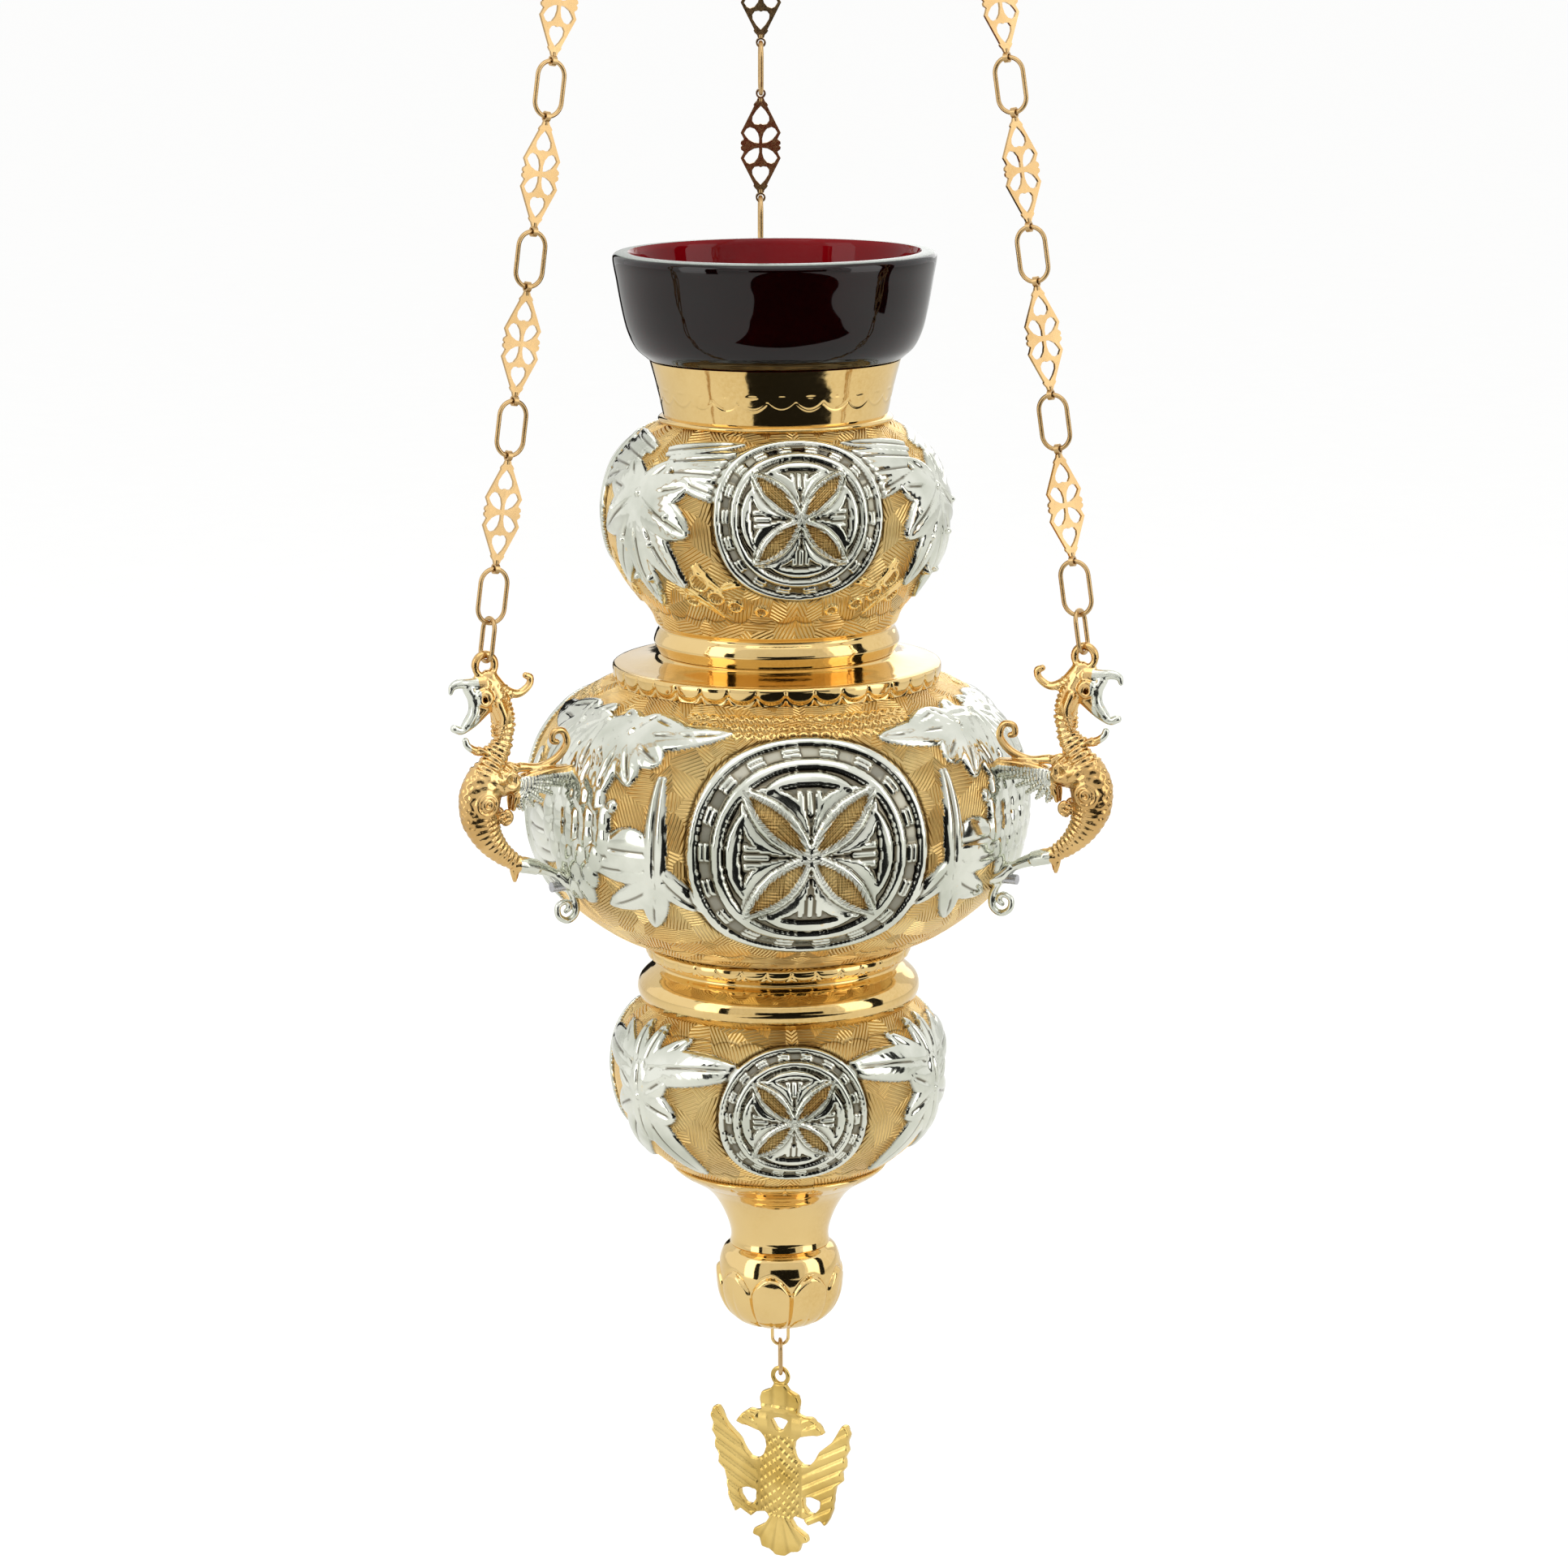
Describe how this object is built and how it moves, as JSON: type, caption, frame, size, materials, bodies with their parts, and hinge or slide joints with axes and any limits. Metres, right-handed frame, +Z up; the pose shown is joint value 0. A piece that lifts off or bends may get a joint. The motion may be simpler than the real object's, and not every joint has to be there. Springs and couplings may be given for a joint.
{
  "type": "hanging sanctuary oil lamp",
  "caption": "Ornate hanging oil lamp: stacked bulbous embossed brass body, dragon handles, filigree chains to a hanging ring, lift-out red glass cup and an eagle pendant.",
  "frame": {"origin": "centre of the hanging ring's bore", "axes": "+Z up the lamp's axis, +Y along the hanging ring's bore towards the back handle, lamp below the origin"},
  "size_m": [0.1892, 0.1824, 0.9461],
  "materials": {
    "gilt": "polished",
    "gilt_relief": "embossed gold and silver plate",
    "gilt_cast": "cast gold and silver plate",
    "brass_sheet": "satin",
    "steel": "satin",
    "red_glass": "clear"
  },
  "bodies": {
    "hanging_ring": {"hanging_ring": "gilt"},
    "swivel_link": {"swivel_link": "gilt"},
    "eye_bolt": {"eye_bolt": "gilt", "eye_bolt_nut": "gilt"},
    "glass_cup": {"glass_cup": "red_glass"},
    "pendant_link": {"pendant_link": "gilt"},
    "eagle": {"eagle_pendant": "gilt_cast"},
    "plates_right": {"chain_plates_right": "gilt"},
    "plates_back": {"chain_plates_back": "gilt"},
    "plates_left": {"chain_plates_left": "gilt"},
    "lamp": {"crown_cap": "gilt", "collar": "gilt", "upper_bulb": "gilt_relief", "bridge_plate": "brass_sheet", "tie_rod_washer": "steel", "tie_rod_nut": "steel", "tie_rod": "steel", "waist_spool": "gilt", "shoulder_flange": "gilt", "upper_centring_disc": "brass_sheet", "middle_bulb": "gilt_relief", "lower_centring_disc": "brass_sheet", "scalloped_ring": "gilt", "lower_moulding": "gilt", "lower_bulb": "gilt_relief", "base_ring": "gilt", "stem": "gilt", "knob": "gilt", "handle_screws": "steel", "pendant_eye": "gilt", "handle_right": "gilt_cast", "connecting_link_right": "gilt", "chain_links_right": "gilt", "crown_eye_right": "gilt", "handle_back": "gilt_cast", "connecting_link_back": "gilt", "chain_links_back": "gilt", "crown_eye_back": "gilt", "handle_left": "gilt_cast", "connecting_link_left": "gilt", "chain_links_left": "gilt", "crown_eye_left": "gilt"}
  },
  "joints": [
    {"name": "link_swing", "type": "hinge", "parent": "hanging_ring", "child": "swivel_link", "pos_m": [0, 0, -0.0188], "axis": [1, 0, 0], "range_deg": [-25, 25]},
    {"name": "bolt_swing", "type": "hinge", "parent": "swivel_link", "child": "eye_bolt", "pos_m": [0, 0, -0.0322], "axis": [0, 1, 0], "range_deg": [-20, 20]},
    {"name": "lamp_swivel", "type": "hinge", "parent": "eye_bolt", "child": "lamp", "pos_m": [0, 0, -0.0455], "axis": [0, 0, 1], "continuous": true},
    {"name": "cup_lift", "type": "slide", "parent": "lamp", "child": "glass_cup", "axis": [0, 0, 1], "range_m": [0, 0.08]},
    {"name": "pendant_link_swing", "type": "hinge", "parent": "lamp", "child": "pendant_link", "pos_m": [0, 0, -0.8663], "axis": [1, 0, 0], "range_deg": [-35, 35]},
    {"name": "eagle_swing", "type": "hinge", "parent": "pendant_link", "child": "eagle", "pos_m": [0, 0, -0.8755], "axis": [0, 1, 0], "range_deg": [-35, 35]},
    {"name": "plates_twist_right", "type": "hinge", "parent": "lamp", "child": "plates_right", "pos_m": [0.0853, -0.04925, -0.6475], "axis": [-0.1278, 0.0738, 0.989], "range_deg": [-8, 8]},
    {"name": "plates_twist_back", "type": "hinge", "parent": "lamp", "child": "plates_back", "pos_m": [0, 0.0985, -0.6475], "axis": [0, -0.1476, 0.989], "range_deg": [-8, 8]},
    {"name": "plates_twist_left", "type": "hinge", "parent": "lamp", "child": "plates_left", "pos_m": [-0.0853, -0.04925, -0.6475], "axis": [0.1278, 0.0738, 0.989], "range_deg": [-8, 8]}
  ]
}
